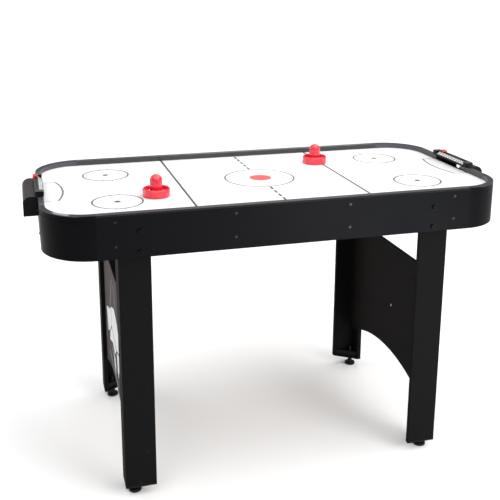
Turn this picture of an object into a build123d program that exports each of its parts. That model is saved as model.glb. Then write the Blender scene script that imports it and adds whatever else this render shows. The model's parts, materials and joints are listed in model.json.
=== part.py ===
from build123d import *
import os
from math import cos, hypot, radians, sin, tan

# Four-foot air hockey table, in millimetres. +X runs along the length, +Y across it,
# +Z up. The origin is on the floor under the middle of the table.
# "left" is -X, "right" is +X, "front" is -Y and "rear" is +Y.

os.makedirs("parts", exist_ok=True)

# ---------------------------------------------------------------- driving dimensions
table_length = 1220
table_width = 602
rim_top = 766
apron_height = 110
apron_thick = 18
end_apron_thick = 12
corner_radius = 125
rim_width = 22
end_rim_width = 14
rim_thick = 4
field_drop = 14            # the playing surface lies this far below the rim
board_thick = 9
plenum_height = 51         # air space between the base board and the playing field
board_gap = 0.5            # between a board's edge and the apron round it

air_pitch = 32
air_hole_radius = 0.8
air_margin = 12            # from the rim's inner wall to the nearest air hole

leg_board = 12
leg_face = 80
leg_side = 60
leg_corner_x = 436         # outer corner of each leg
leg_bottom = 30
leg_top = 735

panel_top = 519
panel_arch_top = 189
panel_foot = 139

goal_half = 82
goal_box_half = 98
goal_box_depth = 37
goal_box_low = 717
goal_box_high = 768
goal_wall = 3
window_z = 735
window_half = 42

scorer_half = 96.5
scorer_top = 780
scorer_block = 78          # the raised end blocks begin this far from the middle
mouth_height = 13
slider_y = 62
slider_reach = 69          # the slider's centre runs this far either side of the middle

pusher_radius = 36
pusher_places = {"left": (-312, -112), "right": (216, 136)}
hover = 0.5                # pusher felt above the playing surface

puck_radius = 22
puck_thick = 5
puck_y = -50
puck_lean = radians(60)

fan_size = 120
fan_height = 32
fan_bore = 58
fan_hole_pitch = 105
shaft_radius = 1.5
running_gap = 0.05

power_x = 230              # middle of the power plate on the rear apron
power_z = 715
rocker_tilt = 8

# ---------------------------------------------------------------- worked out from them
half_x = table_length / 2
half_y = table_width / 2
inner_x = half_x - end_apron_thick
inner_y = half_y - apron_thick
straight_x = half_x - corner_radius
straight_y = half_y - corner_radius
apron_bottom = rim_top - apron_height
apron_top = rim_top - rim_thick
field_top = rim_top - field_drop
field_bottom = field_top - board_thick
base_top = field_bottom - plenum_height
base_bottom = base_top - board_thick
rim_inner = corner_radius - rim_width
field_corner_x = half_x - end_rim_width - rim_inner
sill_z = field_top - 2
mouth_top = field_top + mouth_height
screw_heights = (base_bottom + board_thick / 2, field_bottom + board_thick / 2)
bolt_heights = (669.5, 721)
bolt_x = 383
goal_out = half_x + goal_box_depth
pocket_floor = goal_box_low + goal_wall
tab_y = 70
tab_width = 30
tab_height = 22
goal_screw_z = pocket_floor + tab_height / 2
goal_screw_length = 12

LOW = (Align.CENTER, Align.CENTER, Align.MIN)
HIGH = (Align.CENTER, Align.CENTER, Align.MAX)


def save(builder, name):
    builder.part.label = name
    export_step(builder.part, f"parts/{name}.step")


def mirrored(source, name, plane):
    """A node that is the mirror image of another."""
    with BuildPart() as copy:
        mirror(source.part, about=plane)
    save(copy, name)


def side_faces(xs, zs, y=half_y):
    """Places on the front and rear faces, each facing outwards."""
    return [Location((x, side * y, z), (-90 * side, 0, 0)) for side in (-1, 1) for x in xs for z in zs]


def end_faces(ys, zs, x=half_x):
    """Places on the left and right ends, each facing outwards."""
    return [Location((side * x, y, z), (0, 90 * side, 0)) for side in (-1, 1) for y in ys for z in zs]


def low_head_screw(head_radius, head_height, shank_radius, length, slot):
    """A screw at each current place, its cross-slotted head standing on the surface."""
    Cylinder(shank_radius, length, align=HIGH)
    Cylinder(head_radius, head_height / 2, align=LOW)
    Cone(head_radius, head_radius * 0.7, head_height, align=LOW)
    Box(slot, slot / 4, head_height, align=LOW, mode=Mode.SUBTRACT)
    Box(slot / 4, slot, head_height, align=LOW, mode=Mode.SUBTRACT)


# ---------------------------------------------------------------- boards
apron_screw_places = side_faces((-441, -149, 149, 441), screw_heights)
end_screw_places = end_faces((-150, 150), screw_heights)
apron_screw_length = 35
pilot_radius = 1.9
leg_bolt_places = side_faces((-bolt_x, bolt_x), bolt_heights)
goal_screw_places = end_faces((-tab_y, tab_y), (goal_screw_z,), half_x + goal_wall)


def board_outline():
    RectangleRounded(
        2 * (inner_x - board_gap),
        2 * (inner_y - board_gap),
        corner_radius - apron_thick - board_gap,
    )


def edge_pilots():
    """Pilot holes for the apron screws in a board's edges."""
    with Locations(*apron_screw_places, *end_screw_places):
        Cylinder(pilot_radius, apron_screw_length + 1, align=HIGH, mode=Mode.SUBTRACT)


def centred(count, pitch):
    return [(i - (count - 1) / 2) * pitch for i in range(count)]


def over_field(x, y, margin):
    """True where a point of the field is clear of the rim, its corners included."""
    beyond_x = max(abs(x) - field_corner_x, 0)
    beyond_y = max(abs(y) - straight_y, 0)
    return hypot(beyond_x, beyond_y) < rim_inner - margin


air_columns = int(2 * (half_x - end_rim_width - air_margin) / air_pitch) + 1
air_rows = int(2 * (half_y - rim_width - air_margin) / air_pitch) + 1
air_points = [
    (x, y)
    for x in centred(air_columns, air_pitch)
    for y in centred(air_rows, air_pitch)
    if over_field(x, y, air_margin)
]

with BuildPart() as playing_field:
    with BuildSketch(Plane.XY.offset(field_bottom)):
        board_outline()
        with Locations(*air_points):
            Circle(air_hole_radius, mode=Mode.SUBTRACT)
    extrude(amount=board_thick)
    edge_pilots()
save(playing_field, "playing_field")

leg_centre_x = leg_corner_x - leg_face / 2
notch_gap = 1
with BuildPart() as base_board:
    with BuildSketch(Plane.XY.offset(base_bottom)):
        board_outline()
        Circle(fan_bore, mode=Mode.SUBTRACT)
        with GridLocations(fan_hole_pitch, fan_hole_pitch, 2, 2):
            Circle(2.2, mode=Mode.SUBTRACT)
        with GridLocations(2 * leg_centre_x, 2 * inner_y, 2, 2):
            Rectangle(leg_face + 2 * notch_gap, 2 * (leg_side + notch_gap), mode=Mode.SUBTRACT)
    extrude(amount=board_thick)
    edge_pilots()
save(base_board, "base_board")

with BuildPart() as field_supports:
    with Locations(*[(x, 0, base_top) for x in (-330, -150, 150, 330)]):
        Box(12, 380, plenum_height, align=LOW)
    with Locations((-500, 0, base_top), (500, 0, base_top)):
        Box(12, 300, plenum_height, align=LOW)
save(field_supports, "field_supports")

# ---------------------------------------------------------------- aprons
bolt_clearance = 4.25
screw_clearance = 2.2
with BuildPart() as front_apron:
    with Locations((0, -half_y, apron_bottom)):
        Box(2 * straight_x, apron_thick, apron_top - apron_bottom, align=(Align.CENTER, Align.MIN, Align.MIN))
    with Locations(*leg_bolt_places):
        Cylinder(bolt_clearance, apron_thick, align=HIGH, mode=Mode.SUBTRACT)
    with Locations(*apron_screw_places):
        Cylinder(screw_clearance, apron_thick, align=HIGH, mode=Mode.SUBTRACT)
save(front_apron, "front_apron")

# The rear apron is the front one turned round, with a rebated cut-out for the power plate.
plate_width = 78
plate_height = 40
plate_thick = 2.5
rebate_depth = 4.5
cutout_width = 60
cutout_height = 26
with BuildPart() as rear_apron:
    mirror(front_apron.part, about=Plane.XZ)
    with Locations((power_x, half_y, power_z)):
        Box(
            plate_width + 0.6,
            2 * rebate_depth,
            plate_height + 0.6,
            mode=Mode.SUBTRACT,
        )
        Box(cutout_width, 2 * apron_thick, cutout_height, mode=Mode.SUBTRACT)
save(rear_apron, "rear_apron")

with BuildPart() as right_end_apron:
    with Locations((inner_x, 0, apron_bottom)):
        Box(
            end_apron_thick,
            2 * straight_y,
            apron_top - apron_bottom,
            align=(Align.MIN, Align.CENTER, Align.MIN),
        )
    with Locations((inner_x, 0, sill_z)):
        Box(
            end_apron_thick,
            2 * goal_half,
            apron_top - sill_z,
            align=(Align.MIN, Align.CENTER, Align.MIN),
            mode=Mode.SUBTRACT,
        )
    with Locations(*end_screw_places):
        Cylinder(screw_clearance, apron_thick, align=HIGH, mode=Mode.SUBTRACT)
    with Locations(*goal_screw_places):
        Cylinder(pilot_radius, goal_screw_length + 1, align=HIGH, mode=Mode.SUBTRACT)
save(right_end_apron, "right_end_apron")
mirrored(right_end_apron, "left_end_apron", Plane.YZ)

# ---------------------------------------------------------------- moulded corners
shell_thick = 5
web_thick = 3
web_inset = 1              # keeps the webs off the rim's inner wall
web_depth = apron_thick - 3
end_web_depth = end_apron_thick - 3
end_wall = end_rim_width - end_apron_thick
tongue_length = 45
ledge_thick = 5
groove_z = rim_top - 15
groove_depth = 0.8


def quarter_ring(outer, inner):
    """A quarter of a flat ring about the rear right corner's centre."""
    with Locations((straight_x, straight_y)):
        Circle(outer)
        Circle(inner, mode=Mode.SUBTRACT)
        Rectangle(2 * outer, 2 * outer, align=(Align.MIN, Align.MIN), mode=Mode.INTERSECT)


def rim_plate():
    """The corner seen from above, from its outer edge in to the field."""
    quarter_ring(corner_radius, 1)
    with Locations((field_corner_x, straight_y)):
        Circle(rim_inner, mode=Mode.SUBTRACT)
    with Locations((straight_x, straight_y)):
        Rectangle(
            field_corner_x - straight_x,
            rim_inner,
            align=(Align.MIN, Align.MIN),
            mode=Mode.SUBTRACT,
        )


def rim_wall():
    """Thin wall that follows the corner of the field."""
    with Locations((field_corner_x, straight_y)):
        Circle(rim_inner + end_wall)
        Rectangle(2 * rim_inner, 2 * rim_inner, align=(Align.MIN, Align.MIN), mode=Mode.INTERSECT)
        Circle(rim_inner, mode=Mode.SUBTRACT)
    with Locations((straight_x, straight_y + rim_inner)):
        Rectangle(field_corner_x - straight_x, end_wall, align=(Align.MIN, Align.MIN))


def is_inner_edge(edge):
    """True for the rim's top edges beside the field."""
    if edge.geom_type == GeomType.CIRCLE:
        return edge.radius < rim_inner + 1
    return edge.center().X > straight_x + 1 and edge.center().Y > straight_y + 1


tongue_low = base_top + 1
tongue_height = field_bottom - ledge_thick - tongue_low
with BuildPart() as rear_right_corner:
    with BuildSketch(Plane.XY.offset(apron_bottom)):
        quarter_ring(corner_radius, corner_radius - shell_thick)
    extrude(amount=apron_height)
    with BuildSketch(Plane.XY.offset(apron_top)):
        rim_plate()
    extrude(amount=rim_thick)
    with BuildSketch(Plane.XY.offset(field_top)):
        rim_wall()
    extrude(amount=apron_top - field_top)
    # ledge that carries the corner of the playing field
    with BuildSketch(Plane.XY.offset(field_bottom - ledge_thick)):
        quarter_ring(corner_radius - 2, rim_inner - 5)
    extrude(amount=ledge_thick)
    # webs against the aprons' ends, and tongues behind the aprons
    with Locations((straight_x, inner_y + web_inset, apron_bottom)):
        Box(web_thick, web_depth, apron_height - 2, align=(Align.MIN, Align.MIN, Align.MIN))
    with Locations((inner_x + web_inset, straight_y, apron_bottom)):
        Box(end_web_depth, web_thick, apron_height - 2, align=(Align.MIN, Align.MIN, Align.MIN))
    with Locations((straight_x, inner_y - web_thick, tongue_low)):
        Box(web_thick, 2 * web_thick, tongue_height, align=(Align.MIN, Align.MIN, Align.MIN))
    with Locations((straight_x, inner_y, tongue_low)):
        Box(tongue_length, web_thick, tongue_height, align=(Align.MAX, Align.MAX, Align.MIN))
    with Locations((inner_x - web_thick, straight_y, tongue_low)):
        Box(2 * web_thick, web_thick, tongue_height, align=(Align.MIN, Align.MIN, Align.MIN))
    with Locations((inner_x, straight_y, tongue_low)):
        Box(web_thick, tongue_length, tongue_height, align=(Align.MAX, Align.MAX, Align.MIN))
    # shadow line below the rim
    with BuildSketch(Plane.XY.offset(groove_z)):
        quarter_ring(corner_radius + 1, corner_radius - groove_depth)
    extrude(amount=1.6, mode=Mode.SUBTRACT)
    fillet(edges().group_by(Axis.Z)[-1].filter_by(is_inner_edge), 1.5)
    fillet(edges().filter_by(GeomType.CIRCLE).group_by(Axis.Z)[-1].sort_by(SortBy.RADIUS)[-1], 2)
save(rear_right_corner, "rear_right_corner")
mirrored(rear_right_corner, "rear_left_corner", Plane.YZ)
mirrored(rear_right_corner, "front_right_corner", Plane.XZ)
with BuildPart() as front_right_corner:
    mirror(rear_right_corner.part, about=Plane.XZ)
mirrored(front_right_corner, "front_left_corner", Plane.YZ)


# ---------------------------------------------------------------- rim rails
def rail_profile(width, apron):
    """L-shaped rail: a flange over the apron and a wall down to the field. Outside is +X."""
    Polygon(
        (-width, field_top),
        (-width, rim_top),
        (0, rim_top),
        (0, apron_top),
        (-apron, apron_top),
        (-apron, field_top),
        align=None,
    )
    top_corners = vertices().group_by(Axis.Y)[-1].sort_by(Axis.X)
    fillet(top_corners[-1], 2)
    fillet(top_corners[0], 1.5)


rear_rail_plane = Plane(origin=(-straight_x, half_y, 0), x_dir=(0, 1, 0), z_dir=(1, 0, 0))
with BuildPart() as rear_rail:
    with BuildSketch(rear_rail_plane):
        rail_profile(rim_width, apron_thick)
    extrude(amount=2 * straight_x)
save(rear_rail, "rear_rail")
mirrored(rear_rail, "front_rail", Plane.XZ)

end_rail_plane = Plane(origin=(half_x, straight_y, 0), x_dir=(1, 0, 0), z_dir=(0, -1, 0))
with BuildPart() as end_rails:
    with BuildSketch(end_rail_plane):
        rail_profile(end_rim_width, end_apron_thick)
    extrude(amount=straight_y - goal_half)
    mirror(about=Plane.XZ)
    mirror(about=Plane.YZ)
save(end_rails, "end_rails")

# ---------------------------------------------------------------- goal boxes


def hood_section(inset, mouth_x):
    """Section of the hood, rounded over at the outer top."""
    high = goal_box_high - inset
    low = goal_box_low + inset
    with Locations((mouth_x, low)):
        Rectangle(goal_out - inset - mouth_x, high - low, align=(Align.MIN, Align.MIN))
    outer_corners = vertices().group_by(Axis.X)[-1].sort_by(Axis.Y)
    fillet(outer_corners[-1], 19 - inset)
    fillet(outer_corners[0], 5 - inset)


with BuildPart() as right_goal_box:
    with BuildSketch(Plane.XZ):
        hood_section(0, half_x)
    extrude(amount=goal_box_half, both=True)
    end_walls = faces().filter_by(Axis.Y)
    fillet(end_walls.edges(), 1.2)
    with BuildSketch(Plane.XZ):
        hood_section(goal_wall, half_x - 1)
    extrude(amount=goal_box_half - goal_wall, both=True, mode=Mode.SUBTRACT)
    with Locations((half_x, tab_y, pocket_floor), (half_x, -tab_y, pocket_floor)):
        Box(goal_wall, tab_width, tab_height, align=(Align.MIN, Align.CENTER, Align.MIN))
    # window that the puck is taken out through
    with BuildSketch(Plane.YZ.offset(goal_out - 2 * goal_wall)):
        with Locations((0, window_z)):
            RectangleRounded(2 * window_half, 22, 5)
    extrude(amount=3 * goal_wall, mode=Mode.SUBTRACT)
    with Locations(*goal_screw_places):
        Cylinder(screw_clearance, 2 * goal_wall, mode=Mode.SUBTRACT)
save(right_goal_box, "right_goal_box")
mirrored(right_goal_box, "left_goal_box", Plane.YZ)

with BuildPart() as goal_box_screws:
    with Locations(*goal_screw_places):
        low_head_screw(3.6, 2.2, 1.8, goal_screw_length, 4)
save(goal_box_screws, "goal_box_screws")

# ---------------------------------------------------------------- scorers
scorer_front = half_x - 16
scorer_back = half_x + 6
lip_top = rim_top + 4
slope_back = scorer_front + 12
slope_top = scorer_top - 2
slot_x = half_x + 1
slot_width = 4.2
slot_depth = 3.5
scale_thick = 0.8
scale_width = 12.6
scale_half = 76
scale_plane = Plane(
    origin=((scorer_front + slope_back) / 2, 0, (lip_top + slope_top) / 2),
    x_dir=(0, 1, 0),
    z_dir=(lip_top - slope_top, 0, slope_back - scorer_front),
)

with BuildPart() as right_scorer:
    with BuildSketch(Plane.XZ):
        with BuildLine():
            Polyline(
                (scorer_front, rim_top),
                (scorer_front, scorer_top),
                (scorer_back, scorer_top),
                (scorer_back, goal_box_high),
                (half_x, goal_box_high),
                (half_x, rim_top),
                close=True,
            )
        make_face()
    extrude(amount=scorer_half, both=True)
    end_edges = faces().filter_by(Axis.Y).edges().filter_by(lambda e: e.center().Z > goal_box_high + 1)
    chamfer(edges().filter_by(Axis.Y).group_by(Axis.Z)[-1] + end_edges, 0.8)
    # lip over the goal mouth
    with Locations(((scorer_front + half_x) / 2, 0, mouth_top)):
        Box(half_x - scorer_front, 2 * goal_half - 1, rim_top - mouth_top, align=LOW)
    # sloping face for the scale, between the two end blocks
    with BuildSketch(Plane.XZ):
        with BuildLine():
            Polyline(
                (scorer_front - 1, lip_top),
                (scorer_front, lip_top),
                (slope_back, slope_top),
                (slope_back, scorer_top + 1),
                (scorer_front - 1, scorer_top + 1),
                close=True,
            )
        make_face()
    extrude(amount=scorer_block, both=True, mode=Mode.SUBTRACT)
    # moulded hollow, open underneath
    with Locations((half_x - 6, 0, mouth_top)):
        Box(8, 2 * goal_half - 8, 5, align=LOW, mode=Mode.SUBTRACT)
    with Locations((slot_x, 0, scorer_top)):
        Box(slot_width, 2 * (slider_reach + 4.5), 2 * slot_depth, mode=Mode.SUBTRACT)
    with BuildSketch(scale_plane):
        Rectangle(2 * scale_half, scale_width)
    extrude(amount=-scale_thick, mode=Mode.SUBTRACT)
save(right_scorer, "right_scorer")
mirrored(right_scorer, "left_scorer", Plane.YZ)

with BuildPart() as right_scale:
    with BuildSketch(scale_plane.offset(-scale_thick)):
        Rectangle(2 * scale_half - 0.6, scale_width - 0.6)
    extrude(amount=scale_thick)
save(right_scale, "right_scale")
mirrored(right_scale, "left_scale", Plane.YZ)

head_gap = 0.4
slider_length = 15.5
slider_height = 4.4
slider_front = slope_back - 1
skirt_thick = 2
skirt_low = goal_box_high + 3
slider_low = scorer_top + head_gap
slider_back = scorer_back + head_gap + skirt_thick
with BuildPart() as right_score_slider:
    with Locations((slider_front, slider_y, slider_low)):
        Box(
            slider_back - slider_front,
            slider_length,
            slider_height,
            align=(Align.MIN, Align.CENTER, Align.MIN),
        )
    # skirt down the scorer's outer side
    with Locations((slider_back, slider_y, skirt_low)):
        Box(
            skirt_thick,
            slider_length,
            slider_low + slider_height - skirt_low,
            align=(Align.MAX, Align.CENTER, Align.MIN),
        )
    fillet(edges().filter_by(Axis.Z), 0.9)
    fillet(faces().sort_by(Axis.Z)[-1].edges(), 0.8)
    with Locations(*[(slider_front + 5, slider_y + dy, slider_low + slider_height) for dy in (-3.5, 0, 3.5)]):
        Box(6, 1, 1.2, mode=Mode.SUBTRACT)
    with Locations((slot_x, slider_y, slider_low)):
        Box(slot_width - 0.6, 8, slot_depth - 0.5 + head_gap, align=HIGH)
save(right_score_slider, "right_score_slider")
mirrored(right_score_slider, "left_score_slider", Plane.YZ)

# ---------------------------------------------------------------- legs
leg_length = leg_top - leg_bottom
foot_x = 409
foot_y = 252
stem_radius = 4
cap_plate = 4
cap_block = 18


def toward(side):
    """Keeps a block on the inner side of a face that points to side."""
    return Align.MAX if side > 0 else Align.MIN


def leg(side_x, side_y):
    where = ("rear" if side_y > 0 else "front") + "_" + ("right" if side_x > 0 else "left")
    with BuildPart() as face_board:
        with Locations((side_x * leg_corner_x, side_y * inner_y, leg_bottom)):
            Box(leg_face, leg_board, leg_length, align=(toward(side_x), toward(side_y), Align.MIN))
        fillet(edges().filter_by(Axis.Z), 0.8)
        with Locations(*leg_bolt_places):
            Cylinder(bolt_clearance, apron_thick + leg_board, align=HIGH, mode=Mode.SUBTRACT)
    save(face_board, f"{where}_leg_face")
    with BuildPart() as side_board:
        with Locations((side_x * leg_corner_x, side_y * (inner_y - leg_board), leg_bottom)):
            Box(
                leg_board,
                leg_side - leg_board,
                leg_length,
                align=(toward(side_x), toward(side_y), Align.MIN),
            )
        fillet(edges().filter_by(Axis.Z), 0.8)
        with Locations(*panel_screw_places):
            Cylinder(pilot_radius, panel_screw_length, align=HIGH, mode=Mode.SUBTRACT)
    save(side_board, f"{where}_leg_side")


panel_inner = leg_corner_x - 2 * leg_board
panel_screw_length = 20
# Facing inwards, so that the screws run outwards into the leg boards.
panel_screw_places = [
    Location((side * panel_inner, y, z), (0, -90 * side, 0))
    for side in (-1, 1)
    for y in (-242, 242)
    for z in (200, 330, 470)
]
for side_x in (-1, 1):
    for side_y in (-1, 1):
        leg(side_x, side_y)

with BuildPart() as foot_caps:
    with BuildSketch(Plane.XY.offset(leg_bottom - cap_plate)):
        with BuildLine():
            Polyline(
                (leg_corner_x, inner_y),
                (leg_corner_x - leg_face, inner_y),
                (leg_corner_x - leg_face, inner_y - leg_board),
                (leg_corner_x - leg_board, inner_y - leg_side),
                (leg_corner_x, inner_y - leg_side),
                close=True,
            )
        make_face()
    extrude(amount=cap_plate)
    with BuildSketch(Plane.XY.offset(leg_bottom)):
        with BuildLine():
            Polyline(
                (leg_corner_x - leg_board - 0.3, inner_y - leg_board - 0.3),
                (leg_corner_x - leg_face + 10, inner_y - leg_board - 0.3),
                (leg_corner_x - leg_board - 0.3, inner_y - leg_side + 10),
                close=True,
            )
        make_face()
    extrude(amount=cap_block)
    with Locations((foot_x, foot_y, leg_bottom)):
        Cylinder(stem_radius + running_gap, 80, mode=Mode.SUBTRACT)
    mirror(about=Plane.XZ)
    mirror(about=Plane.YZ)
save(foot_caps, "foot_caps")


def leveller(side_x, side_y):
    where = ("rear" if side_y > 0 else "front") + "_" + ("right" if side_x > 0 else "left")
    x, y = side_x * foot_x, side_y * foot_y
    upright = Plane(origin=(x, y, 0), x_dir=(1, 0, 0), z_dir=(0, -1, 0))
    with BuildPart() as foot:
        with BuildSketch(upright):
            with BuildLine():
                Polyline(
                    (0, 0),
                    (16, 0),
                    (17, 1.5),
                    (17, 6),
                    (15.5, 7.5),
                    (9, 8.5),
                    (8, 13),
                    (0, 13),
                    close=True,
                )
            make_face()
        revolve(axis=Axis((x, y, 0), (0, 0, 1)))
        with BuildSketch(Plane.XY.offset(13)):
            with Locations((x, y)):
                RegularPolygon(7.5, 6)
        extrude(amount=5)
        with Locations((x, y, 13)):
            Cylinder(stem_radius, 51, align=LOW)
        chamfer(edges().group_by(Axis.Z)[-1], 0.8)
    save(foot, f"{where}_leveller")


for side_x in (-1, 1):
    for side_y in (-1, 1):
        leveller(side_x, side_y)

with BuildPart() as leg_corner_blocks:
    with BuildSketch(Plane.XY.offset(560)):
        with BuildLine():
            Polyline(
                (leg_corner_x - leg_board, inner_y - leg_board),
                (leg_corner_x - leg_board - 30, inner_y - leg_board),
                (leg_corner_x - leg_board, inner_y - leg_board - 30),
                close=True,
            )
        make_face()
    extrude(amount=80)
    mirror(about=Plane.XZ)
    mirror(about=Plane.YZ)
save(leg_corner_blocks, "leg_corner_blocks")

# ---------------------------------------------------------------- end panels
panel_half = inner_y - leg_board - 0.5
arch_half = inner_y - leg_side
with BuildPart() as right_end_panel:
    with BuildSketch(Plane.YZ.offset(panel_inner)):
        with BuildLine():
            Polyline(
                (arch_half, panel_foot),
                (panel_half, panel_foot),
                (panel_half, panel_top),
                (-panel_half, panel_top),
                (-panel_half, panel_foot),
                (-arch_half, panel_foot),
            )
            ThreePointArc((-arch_half, panel_foot), (0, panel_arch_top), (arch_half, panel_foot))
        make_face()
    extrude(amount=leg_board)
    with Locations(*panel_screw_places):
        Cylinder(screw_clearance, leg_board, align=HIGH, mode=Mode.SUBTRACT)
save(right_end_panel, "right_end_panel")
mirrored(right_end_panel, "left_end_panel", Plane.YZ)

with BuildPart() as panel_screws:
    with Locations(*panel_screw_places):
        low_head_screw(4, 2.2, 1.8, panel_screw_length, 4)
save(panel_screws, "panel_screws")

# ---------------------------------------------------------------- bolts and screws
bolt_head_height = 4.5
bolt_radius = 3.9
nut_height = 7
with BuildPart() as leg_bolts:
    with Locations(*leg_bolt_places):
        Cylinder(bolt_radius, apron_thick + leg_board + nut_height + 3, align=HIGH)
        Cylinder(6.4, bolt_head_height, align=LOW)
    fillet(edges().filter_by(GeomType.CIRCLE).filter_by(lambda e: abs(e.center().Y) > half_y + 4), 1.4)
    for place in leg_bolt_places:
        with BuildSketch(Plane(place).offset(bolt_head_height)):
            RegularPolygon(2.9, 6)
        extrude(amount=-3, mode=Mode.SUBTRACT)
save(leg_bolts, "leg_bolts")

with BuildPart() as leg_nuts:
    for place in side_faces((-bolt_x, bolt_x), bolt_heights, inner_y - leg_board):
        with BuildSketch(Plane(place)):
            Circle(9)
            Circle(bolt_radius + running_gap, mode=Mode.SUBTRACT)
        extrude(amount=-1.6)
        with BuildSketch(Plane(place).offset(-1.6)):
            RegularPolygon(7.5, 6)
            Circle(bolt_radius + running_gap, mode=Mode.SUBTRACT)
        extrude(amount=1.6 - nut_height)
save(leg_nuts, "leg_nuts")

with BuildPart() as apron_screws:
    with Locations(*apron_screw_places, *end_screw_places):
        low_head_screw(3.6, 2.2, 1.8, apron_screw_length, 4)
save(apron_screws, "apron_screws")

# ---------------------------------------------------------------- blower
seat_radius = 4
tube_radius = 6
strut_height = 4
cup_outer = 20
cup_inner = 17.2
cup_low = base_top + strut_height + 1
cup_high = base_top + fan_height - 2
blade_tip = fan_bore - 1.2
blade_count = 7

with BuildPart() as fan_frame:
    with BuildSketch(Plane.XY.offset(base_top)):
        RectangleRounded(fan_size, fan_size, 6)
        Circle(fan_bore, mode=Mode.SUBTRACT)
        with GridLocations(fan_hole_pitch, fan_hole_pitch, 2, 2):
            Circle(2.2, mode=Mode.SUBTRACT)
    extrude(amount=fan_height)
    with BuildSketch(Plane.XY.offset(base_top)):
        Circle(cup_outer)
        with PolarLocations((fan_bore + 16) / 2, 4):
            Rectangle(fan_bore - 14, 5)
    extrude(amount=strut_height)
    with BuildSketch(Plane.XY.offset(base_top + strut_height)):
        Circle(tube_radius)
        Circle(seat_radius, mode=Mode.SUBTRACT)
    extrude(amount=18)
save(fan_frame, "fan_frame")

with BuildPart() as fan_bearings:
    for low in (base_top + strut_height + 0.5, base_top + strut_height + 13.5):
        with BuildSketch(Plane.XY.offset(low)):
            Circle(seat_radius - 0.02)
            Circle(shaft_radius + running_gap, mode=Mode.SUBTRACT)
        extrude(amount=4)
save(fan_bearings, "fan_bearings")

with BuildPart() as fan_stator:
    with BuildSketch(Plane.XY.offset(base_top + strut_height + 2)):
        Circle(16)
        Circle(tube_radius + 0.02, mode=Mode.SUBTRACT)
        with PolarLocations(13, 4, start_angle=45):
            Rectangle(8, 2.5, mode=Mode.SUBTRACT)
        with PolarLocations(11, 4, start_angle=45):
            Circle(2.4, mode=Mode.SUBTRACT)
    extrude(amount=14)
save(fan_stator, "fan_stator")

with BuildPart() as impeller:
    with PolarLocations((cup_outer + blade_tip) / 2, blade_count):
        with Locations((0, 0, (cup_low + cup_high) / 2)):
            Box(blade_tip - cup_outer + 6, 2, 28, rotation=(52, 0, 0))
    with Locations((0, 0, cup_low)):
        Cylinder(blade_tip, cup_high - cup_low, align=LOW, mode=Mode.INTERSECT)
        Cylinder(cup_outer, cup_high - cup_low, align=LOW)
        Cylinder(cup_inner, cup_high - cup_low - 3, align=LOW, mode=Mode.SUBTRACT)
        Cylinder(shaft_radius, 2 * fan_height, align=LOW, mode=Mode.SUBTRACT)
save(impeller, "impeller")

with BuildPart() as impeller_shaft:
    with Locations((0, 0, cup_low)):
        Cylinder(shaft_radius, cup_high - cup_low, align=LOW)
save(impeller_shaft, "impeller_shaft")

wire = 1.2
guard_z = base_bottom - wire
eyelet_low = base_bottom - 2 * wire
spoke_end = fan_hole_pitch / 2 * 2**0.5 - 4
with BuildPart() as fan_guard:
    with Locations((0, 0, guard_z)):
        for ring in (12, 24, 36, 48, 58):
            Torus(ring, wire)
    with PolarLocations((10 + spoke_end) / 2, 4, start_angle=45):
        with Locations((0, 0, guard_z - 1.5 * wire)):
            Cylinder(wire, spoke_end - 10, rotation=(0, 90, 0))
    with GridLocations(fan_hole_pitch, fan_hole_pitch, 2, 2):
        with Locations((0, 0, eyelet_low - wire)):
            Cylinder(5, 3 * wire, align=LOW)
            Cylinder(2.2, 12, mode=Mode.SUBTRACT)
save(fan_guard, "fan_guard")

with BuildPart() as fan_screws:
    with GridLocations(fan_hole_pitch, fan_hole_pitch, 2, 2):
        with Locations((0, 0, eyelet_low - wire)):
            Cylinder(1.95, base_top + fan_height + 6 - eyelet_low, align=LOW)
            Cone(2.8, 3.8, 2.6, align=HIGH)
            Box(4, 0.9, 3, mode=Mode.SUBTRACT)
    with BuildSketch(Plane.XY.offset(base_top + fan_height)):
        with GridLocations(fan_hole_pitch, fan_hole_pitch, 2, 2):
            RegularPolygon(4, 6)
            Circle(2, mode=Mode.SUBTRACT)
    extrude(amount=3.2)
save(fan_screws, "fan_screws")

# ---------------------------------------------------------------- power plate, switch, inlet
plate_back = half_y - rebate_depth
plate_front = plate_back + plate_thick
switch_x = power_x - 15
inlet_x = power_x + 17
switch_length = 19
switch_height = 13
cavity_length = 17.4
cavity_height = 10.4
pivot_y = plate_front - 2.5
pivot_radius = 1


def rear_plane(y):
    """A plane across the rear apron that faces outwards; its local x runs to -X."""
    return Plane(origin=(0, y, 0), x_dir=(-1, 0, 0), z_dir=(0, 1, 0))


with BuildPart() as power_plate:
    with BuildSketch(rear_plane(plate_back)):
        with Locations((-power_x, power_z)):
            RectangleRounded(plate_width, plate_height, 5)
        with Locations((-switch_x, power_z)):
            Rectangle(switch_length + 0.2, switch_height + 0.2, mode=Mode.SUBTRACT)
        with Locations((-inlet_x, power_z)):
            Circle(5.6, mode=Mode.SUBTRACT)
    extrude(amount=plate_thick)
    chamfer(faces().sort_by(Axis.Y)[-1].edges().filter_by(Axis.X).group_by(Axis.Z)[-1], 0.6)
    # hooks that snap behind the cut-out
    for z, grip in ((power_z + cutout_height / 2, Align.MAX), (power_z - cutout_height / 2, Align.MIN)):
        with Locations((power_x, plate_back, z)):
            Box(20, 10, 2, align=(Align.CENTER, Align.MAX, grip))
save(power_plate, "power_plate")

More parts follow.
